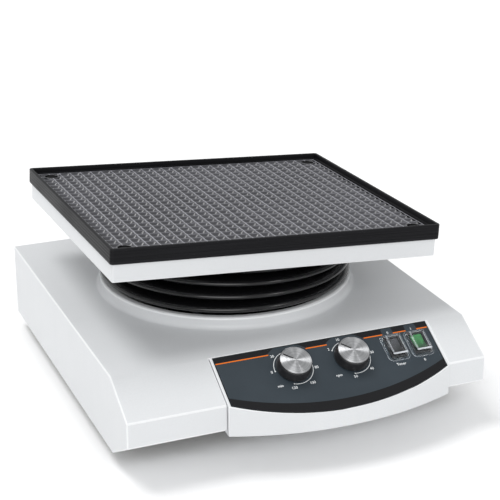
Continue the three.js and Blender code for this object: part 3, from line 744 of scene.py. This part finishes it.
for name, (finish, width) in carried.items():
    for slot in nodes[name].material_slots:
        slot.material = finishes[finish].material
    edgeSlot = -1
    # the rounds along the edges take a lighter coat colour: a painted highlight along each edge
    if finish == "housing":
        nodes[name].data.materials.append(finishes["housingEdgeHighlight"].material)
        edgeSlot = 1
    soften(nodes[name], width * mm, edgeSlot)
print("carried over:", len(carried), "solids")


# rubber mat: a moulded rim with a waffle floor, in millimetres
mat = {
    "width": 298.6,
    "depth": 255.8,
    "corner": 3.2,
    "skirtBottom": 21.4,
    "skirtChamfer": [(0.5, 0), (0.15, 0.4)],
    "top": 34.8,
    "floor": 30.0,
    "flat": 30.2,
    "under": 26.3,
    "wall": 2.0,
    "rim": 3.0,
    "rounding": (0.7, 0.2),
    "cove": 0.6,
    "ledge": 5.5,
    "mouldLines": {"heights": (24.6, 27.4, 30.2, 32.6), "half": 0.35, "deep": 0.14},
}
# the four corner holes, each with a moulded collar and a well finished near-black as painted shade
hole = {"x": 132.0, "y": 111.2, "radius": 6.0, "collar": 7.3, "overlap": 0.7, "sides": 40}
hole["high"] = mat["flat"] - 0.1
hole["low"] = mat["under"] + 0.4
hole["rounding"] = (0.2, 0.25)


def makeMatRim():
    wall, rim, top, floor, under = (mat[k] for k in ("wall", "rim", "top", "floor", "under"))
    wide, narrow = mat["rounding"]
    lines = mat["mouldLines"]
    half, deep = lines["half"], lines["deep"]
    inner = rim + mat["ledge"]
    section = [(wall, mat["skirtBottom"])]
    section += [(x, mat["skirtBottom"] + up) for x, up in mat["skirtChamfer"]]
    # faint mould lines run round the outer wall
    for height in lines["heights"]:
        section += [(0, height - half), (deep, height), (0, height + half)]
    section += [(0, top - wide), (narrow, top - narrow), (wide, top)]
    section += [(rim - wide, top), (rim - narrow, top - narrow), (rim, top - wide)]
    section += [(rim, floor + mat["cove"]), (rim + mat["cove"], floor)]
    section += [(inner, floor), (inner, under), (wall, under)]
    size = (mat["width"] * mm, mat["depth"] * mm, mat["corner"] * mm)
    return sweptMesh(*size, scaled(section), closed=True)


# where the samples lie along one side, and how far each is from its cell's middle
def waffleSamples(step, count):
    fine = waffle["samples"]
    # samples crowd towards each ridge
    shares = [0.5 - 0.5 * math.cos(math.pi * i / fine) for i in range(fine)]
    half = step * count / 2
    places = [step * (cell + share) - half for cell in range(count) for share in shares] + [half]
    away = [2 * share - 1 for cell in range(count) for share in shares] + [1.0]
    slope = 1 - waffle["ridge"]
    return places, [min(1, abs(a) / slope) for a in away]


def makeWaffle():
    (stepX, stepY), (countX, countY) = waffle["cell"], waffle["cells"]
    across, awayX = waffleSamples(stepX, countX)
    along, awayY = waffleSamples(stepY, countY)
    vertices, faces, wells = [], [], []
    for y, b in zip(along, awayY):
        for x, a in zip(across, awayX):
            z = mat["flat"] - waffle["depth"] * (1 - a * a) * (1 - b * b)
            vertices.append((x * mm, y * mm, z * mm))
    row = len(across)
    clearOf = hole["collar"] - hole["overlap"]
    for j in range(len(along) - 1):
        for i in range(row - 1):
            x, y = (across[i] + across[i + 1]) / 2, (along[j] + along[j + 1]) / 2
            if math.hypot(abs(x) - hole["x"], abs(y) - hole["y"]) >= clearOf:
                first = j * row + i
                faces.append([first, first + 1, first + row + 1, first + row])
    out, radius, high, low = (hole[k] for k in ("collar", "radius", "high", "low"))
    outer, inner = hole["rounding"]
    section = [(out, low), (out, high - outer), (out - outer, high)]
    section += [(radius + inner, high), (radius, high - inner), (radius, low), (0, low)]
    points, polygons = turnedMesh(scaled(section), hole["sides"])
    for sx in (-1, 1):
        for sy in (-1, 1):
            shift = len(vertices)
            dx, dy = sx * hole["x"] * mm, sy * hole["y"] * mm
            vertices += [(x + dx, y + dy, z) for x, y, z in points]
            faces += [[v + shift for v in reversed(polygon)] for polygon in polygons]
            # the last two bands are the well's wall and its bottom
            wells += range(len(faces) - hole["sides"] * 2, len(faces))
    return vertices, faces, wells


rim = newPiece("mat_rim", *makeMatRim(), "mat", trayFrame)
shadeSoftly(rim)
settle(rim, "tray", "mat", "rubber_mat")
vertices, faces, wells = makeWaffle()
matFloor = newPiece("mat_waffle", vertices, faces, "waffle", trayFrame, more=["hole"])
# the wells' wall and bottom take the near-black finish: painted shade in the deep holes
for each in wells:
    matFloor.data.polygons[each].material_index = 1
settle(matFloor, "tray", "mat")
print("mat made:", len(matFloor.data.vertices), "points")

# bellows: five folds, each a soft crest between two narrow valleys, in millimetres
bellows = {
    "folds": 5,
    "crest": 114.6,
    "valley": 99.5,
    "inner": 97.5,
    "pitch": 10.58,
    "overlap": 0.9,
    "fullness": (1.9, 0.72),  # the first flattens the crest, the second narrows the valleys
    "steps": 22,
    "segments": 160,
}


def foldSection():
    b = bellows
    reach = b["pitch"] / 2 + b["overlap"]
    flatter, narrower = b["fullness"]
    section = []
    for i in range(b["steps"] + 1):
        t = -1 + 2 * i / b["steps"]
        bulge = (1 - abs(t) ** flatter) ** narrower
        section.append((b["valley"] + (b["crest"] - b["valley"]) * bulge, t * reach))
    return section + [(b["inner"], reach), (b["inner"], -reach)]


for number in range(1, bellows["folds"] + 1):
    name = "bellows_fold_%d" % number
    low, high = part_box(name)
    axis = Vector(joints["fold_%d_wobble" % number]["axis"])
    # the fold's middle, on its own leaning axis
    rise = ((low + high) / 2 - wobble).dot(axis)
    shape = turnedMesh(scaled(foldSection()), bellows["segments"], closed=True)
    place = alongAxis(wobble + axis * rise, axis)
    fold = newPiece("bellows_crest_%d" % number, *shape, "rubber", place)
    settle(fold, "fold_%d" % number, "rubber", name)
print("bellows made")

# knobs: half sections (radius, height) in millimetres, with the mark at rest in degrees
knob = {
    "skirt": [
        (10.2, 0.55),
        (14.55, 0.55),
        (14.9, 0.85),
        (14.95, 2.05),
        (14.8, 2.55),
        (14.55, 4.95),
        (14.0, 8.3),
        (13.75, 8.95),
        (13.45, 9.2),
        (12.6, 9.2),
        (12.6, 8.7),
        (0, 8.7),
    ],
    "face": [
        (0, 9.3),
        (13.0, 9.3),
        (13.3, 9.6),
        (13.3, 10.1),
        (13.18, 10.35),
        (12.6, 10.89),
        (12.45, 10.95),
        (0, 10.95),
    ],
    "skirtSegments": 72,
    "faceSegments": 96,
    "top": 10.95,
    "rest": -50,
    "mark": {"inner": 2.6, "outer": 11.9, "width": 1.1, "roundness": 2.2, "thickness": 0.03},
}


def makeMark():
    m = knob["mark"]
    size = (m["width"] * mm, (m["outer"] - m["inner"]) * mm, m["width"] / m["roundness"] * mm)
    return sweptMesh(*size, scaled([(0, 0), (0, m["thickness"])]), lidLast=True)


markMiddle = (knob["mark"]["inner"] + knob["mark"]["outer"]) / 2
onFace = Matrix.Translation((0, markMiddle * mm, knob["top"] * mm))
for dial, (x, down) in panel["knobs"].items():
    body = dial + "_dial"
    place = onPanel(x, down, knob["rest"])
    shape = turnedMesh(scaled(knob["skirt"]), knob["skirtSegments"])
    skirt = newPiece(dial + "_knob_skirt", *shape, "black", place)
    shadeSoftly(skirt)
    settle(skirt, body, "black", dial + "_knob")
    shape = turnedMesh(scaled(knob["face"]), knob["faceSegments"])
    disc = newPiece(dial + "_knob_disc", *shape, "spun", place)
    shadeSoftly(disc)
    settle(disc, body, "aluminium", dial + "_knob_face")
    mark = newPiece(dial + "_knob_mark", *makeMark(), "hole", place @ onFace)
    settle(mark, body, "black")
print("knobs made")

# switch covers: sections (inwards from the cap's sides, height) in millimetres
cover = {
    "width": 18.0,
    "length": 24.2,
    "corner": 3.0,
    # up from the flange's rim, and in towards a flat top with a chamfer round it
    "outside": [
        (-1.3, 0.3),
        (-1.3, 0.75),
        (-1.0, 1.05),
        (-0.3, 1.15),
        (0, 1.5),
        (1.1, 3.74),
        (1.84, 5.6),
        (2.0, 5.85),
        (2.75, 6.68),
        (3.1, 6.8),
        (4.5, 6.8),
    ],
    "inside": [(4.5, 5.9), (2.9, 5.9), (2.7, 5.6), (0.9, 1.5), (0.9, 0.3)],
    "rimBands": (0, 1),
    "topBands": (7, 8),
    "paintedReflectionFrom": 0.36,  # the share of the length below the middle from which the top's edge takes the painted reflection
}


def makeCap(size):
    outer = sweptMesh(*size, scaled(cover["outside"]), lidLast=True)
    inner = sweptMesh(*size, scaled(cover["inside"]), lidFirst=True)
    shift = len(outer[0])
    vertices = outer[0] + inner[0]
    faces = outer[1] + [[v + shift for v in face] for face in inner[1]]
    count = len(roundedLoop(*size, 0))
    last = len(vertices) - count
    # the cap's lower lip joins its inner wall to its flange
    faces += [[last + i, last + (i + 1) % count, (i + 1) % count, i] for i in range(count)]
    return vertices, faces, count


for name, (x, down) in panel["switches"].items():
    vertices, faces, count = makeCap([cover[k] * mm for k in ("width", "length", "corner")])
    # the two edge finishes: painted highlight, and painted reflection
    edges = ["edge", "brightEdgePaintedReflection"]
    cap = newPiece(name + "_clear_cap", vertices, faces, "clear", onPanel(x, down), more=edges)
    polygons = list(cap.data.polygons)
    lowest = -cover["length"] * cover["paintedReflectionFrom"] * mm
    # painted highlights on the flange's rim and the chamfer round the top, with a stronger painted
    # reflection on the top's lower edge
    for band in cover["rimBands"] + cover["topBands"]:
        for polygon in polygons[band * count : (band + 1) * count]:
            paintedReflection = band in cover["topBands"] and polygon.center.y < lowest
            polygon.material_index = 2 if paintedReflection else 1
    cap.visible_shadow = False
    shadeSoftly(cap)
    settle(cap, "housing", "clear", name + "_switch_cover")
print("switch covers made")

# print on the overlay, a hair above it, in millimetres across the panel and down its slope
ink = {
    "lift": 0.03,
    "margin": 0.2,
    "bandBottom": 6.6,
    "line": (6.9, 7.9),
    "lineParts": [(-72.9, -26.3), (7.3, 26.7), (61.0, 78.5), (88.5, 100.8), (111.0, 121.4)],
    "clearDisc": 24.0,
    "tabs": [(78.5, 88.5), (100.8, 111.0)],
    "lowEnd": 48.6,
    "lowMiddle": 70.9,
    "upEnd": 41.2,
    "upMiddle": 61.4,
    "bandStep": 0.5,
    "bowStep": 2,
    "leastHeight": 0.01,
}
# dial scales: angles in degrees clockwise from straight up, and their numbers
scales = {
    "timer": {-93: "0", -44.5: "20", 4: "40", 52.5: "60", 101: "80", 149.5: "100", 198: "120"},
    "speed": {-55: "2", -14: "10", 37: "20", 87: "30", 138: "40", 190: "50"},
}
arc = {
    "radius": 16.6,
    "width": 0.5,
    "step": 3,
    "dot": 0.62,
    "dotSides": 14,
    "labelRadius": 19.7,
    "labelSize": 3.5,
    "longLabel": 0.9,  # further out for three digits
    "tucked": {"from": 0, "to": 60, "by": 1.2},  # closer in, under the orange line
}
labels = [
    ("min", -27.1, 38.9, 3.4),
    ("rpm", 25.5, 39.0, 3.4),
    ("0", 83.9, 6.4, 3.3),
    ("1", 106.0, 6.3, 3.3),
    ("Timer", 82.9, 39.2, 3.5),
    ("0", 105.2, 39.2, 3.3),
]
lettering = {"bold": 0.03, "curveSteps": 3}


# how far down the slope a bowed line lies, from its ends and its middle
def bowed(x, atEnd, atMiddle):
    half = (panel["right"] - panel["left"]) / 2
    bow = atMiddle - atEnd
    radius = (half * half + bow * bow) / (2 * bow)
    dx = x - (panel["right"] + panel["left"]) / 2
    return atMiddle - radius + math.sqrt(radius * radius - dx * dx)


def bowTop(x):
    return bowed(x, ink["upEnd"], ink["upMiddle"])


def bowBottom(x):
    return bowed(x, ink["lowEnd"], ink["lowMiddle"]) - ink["margin"]


# the upper band's lower side, cut round for the dials and away for the tabs
def bandBottom(x):
    lowest = ink["bandBottom"]
    for cx, down in panel["knobs"].values():
        if abs(x - cx) < ink["clearDisc"]:
            lowest = min(lowest, down - math.sqrt(ink["clearDisc"] ** 2 - (x - cx) ** 2))
    for low, high in ink["tabs"]:
        if low < x < high:
            lowest = 0
    return lowest


# a strip across the panel between two lines
def strip(xs, upper, lower):
    vertices, faces = [], []
    for x in xs:
        top, bottom = upper(x), lower(x)
        vertices += [(x * mm, -top * mm, 0), (x * mm, -max(top, bottom) * mm, 0)]
    for i in range(len(xs) - 1):
        if any(lower(x) > upper(x) + ink["leastHeight"] for x in xs[i : i + 2]):
            faces.append([2 * i + 1, 2 * i + 3, 2 * i + 2, 2 * i])
    return vertices, faces


def span(low, high, step):
    count = max(2, round((high - low) / step))
    return [low + (high - low) * i / count for i in range(count + 1)]


# the point at a reach and a clockwise angle round a dial
def around(centre, reach, angle):
    a = math.radians(angle)
    return centre[0] + reach * math.sin(a), centre[1] - reach * math.cos(a)


def arcStrip(centre, start, end):
    vertices, faces = [], []
    angles = span(start, end, arc["step"])
    for angle in angles:
        for side in (-0.5, 0.5):
            x, down = around(centre, arc["radius"] + side * arc["width"], angle)
            vertices.append((x * mm, -down * mm, 0))
    for i in range(len(angles) - 1):
        faces.append([2 * i, 2 * i + 1, 2 * i + 3, 2 * i + 2])
    return vertices, faces


def dot(centre):
    radius, sides = arc["dot"], arc["dotSides"]
    turns = [2 * math.pi * i / sides for i in range(sides)]
    points = [(centre[0] + radius * math.cos(a), -centre[1] + radius * math.sin(a)) for a in turns]
    return [(x * mm, y * mm, 0) for x, y in points], [list(range(sides))]


def words(text, x, down, size):
    curve = bpy.data.curves.new("words", "FONT")
    curve.body = text
    curve.size = size * mm
    curve.align_x = "CENTER"
    curve.align_y = "CENTER"
    curve.resolution_u = lettering["curveSteps"]
    curve.offset = lettering["bold"] * mm
    holder = bpy.data.objects.new("words", curve)
    bpy.context.scene.collection.objects.link(holder)
    bpy.context.view_layer.update()
    shaped = holder.evaluated_get(bpy.context.evaluated_depsgraph_get())
    mesh = bpy.data.meshes.new_from_object(shaped)
    vertices = [(v.co.x + x * mm, v.co.y - down * mm, 0) for v in mesh.vertices]
    faces = [list(p.vertices) for p in mesh.polygons]
    bpy.data.objects.remove(holder)
    bpy.data.curves.remove(curve)
    bpy.data.meshes.remove(mesh)
    return vertices, faces


def makeScale(centre, marks):
    first, last = min(marks), max(marks)
    tucked = arc["tucked"]
    yield arcStrip(centre, first, last)
    for angle, text in marks.items():
        reach = arc["labelRadius"] + (arc["longLabel"] if len(text) > 2 else 0)
        if tucked["from"] < angle < tucked["to"]:
            reach -= tucked["by"]
        yield words(text, *around(centre, reach, angle), arc["labelSize"])
    for angle in (first, last):
        yield dot(around(centre, arc["radius"], angle))


left, right = panel["left"] + ink["margin"], panel["right"] - ink["margin"]
bandTop = panel["top"] + ink["margin"]
black = [strip(span(left, right, ink["bandStep"]), lambda x: bandTop, bandBottom)]
black.append(strip(span(left, right, ink["bowStep"]), bowTop, bowBottom))
lineTop, lineBottom = ink["line"]
orange = [strip(ends, lambda x: lineTop, lambda x: lineBottom) for ends in ink["lineParts"]]
white = []
for dial, marks in scales.items():
    white += makeScale(panel["knobs"][dial], marks)
white += [words(*label) for label in labels]

vertices, faces, inks = [], [], []
for which, parts in enumerate((black, orange, white)):
    for points, polygons in parts:
        shift = len(vertices)
        vertices += points
        faces += [[v + shift for v in polygon] for polygon in polygons]
        inks += [which] * len(polygons)
place = panelFrame @ Matrix.Translation((0, 0, (panel["face"] + ink["lift"]) * mm))
colours = ["orangeInk", "whiteInk"]
prints = newPiece("panel_print", vertices, faces, "bandInk", place, smooth=False, more=colours)
for polygon, which in zip(prints.data.polygons, inks):
    polygon.material_index = which
settle(prints, "housing", "overlay")
print("panel print made:", len(faces), "faces")

# floor, in metres, a hair below the feet
ground = {
    "reach": 80,
    "drop": 0.2 * mm,
    "colours": ((0.955, 0.955, 0.957, 1), (0.97, 0.97, 0.972, 1)),
    "roughness": 0.85,
    "speckleScale": 3,
}


def paleFloor(name):
    f = Finish(name)
    speckle = f.noise(ground["speckleScale"], detail=2)
    rough = ground["roughness"] + speckle * 0.05
    return f.feed(Base_Color=f.blend(speckle, *ground["colours"]), Roughness=rough)


finishes["floor"] = paleFloor("paleFloor")
square = ((-1, -1), (1, -1), (1, 1), (-1, 1))
corners = [(x * ground["reach"], y * ground["reach"], -ground["drop"]) for x, y in square]
floor = newPiece("floor", corners, [[0, 1, 2, 3]], "floor", smooth=False)

scene = bpy.context.scene
scene.view_settings.view_transform = "Standard"

# soft light from all round, with a white ground behind
studio = {"tint": (0.985, 0.993, 1.0, 1), "light": 0.64, "ground": 1.0}
world = bpy.data.worlds.new("studio")
world.use_nodes = True
tree = world.node_tree
soft = tree.nodes["Background"]
behind = tree.nodes.new("ShaderNodeBackground")
ray = tree.nodes.new("ShaderNodeLightPath")
choose = tree.nodes.new("ShaderNodeMixShader")
for background, strength in ((soft, studio["light"]), (behind, studio["ground"])):
    background.inputs["Color"].default_value = studio["tint"]
    background.inputs["Strength"].default_value = strength
tree.links.new(ray.outputs["Is Camera Ray"], choose.inputs[0])
tree.links.new(soft.outputs[0], choose.inputs[1])
tree.links.new(behind.outputs[0], choose.inputs[2])
tree.links.new(choose.outputs[0], tree.nodes["World Output"].inputs["Surface"])
scene.world = world

# wide soft panels, far enough away to light the floor evenly
lights = {
    "overhead": {"from": (-0.31, 0.25, 0.917), "angle": 26, "power": 1.36},
    "leftPanel": {"from": (-0.36, -0.83, 0.42), "angle": 40, "power": 1.02},
    "frontPanel": {"from": (0.42, -0.7, 0.58), "angle": 10, "power": 0.18},
}
for name, light in lights.items():
    data = bpy.data.lights.new(name, "SUN")
    data.angle = math.radians(light["angle"])
    data.energy = light["power"]
    lamp = bpy.data.objects.new(name, data)
    scene.collection.objects.link(lamp)
    lamp.rotation_euler = Vector(light["from"]).to_track_quat("Z", "Y").to_euler()

# angles in degrees, lens and sensor in millimetres
view = {
    "place": (-0.45977, -1.13898, 0.59986),
    "azimuth": -22.5,
    "elevation": 21.28,
    "lens": 106.19,
    "sensor": 36,
}
cameraData = bpy.data.cameras.new("camera")
cameraData.lens = view["lens"]
cameraData.sensor_width = view["sensor"]
camera = bpy.data.objects.new("camera", cameraData)
scene.collection.objects.link(camera)
a, e = math.radians(view["azimuth"]), math.radians(view["elevation"])
back = Vector((math.sin(a) * math.cos(e), -math.cos(a) * math.cos(e), math.sin(e)))
camera.location = view["place"]
camera.rotation_euler = (-back).to_track_quat("-Z", "Y").to_euler()
scene.camera = camera
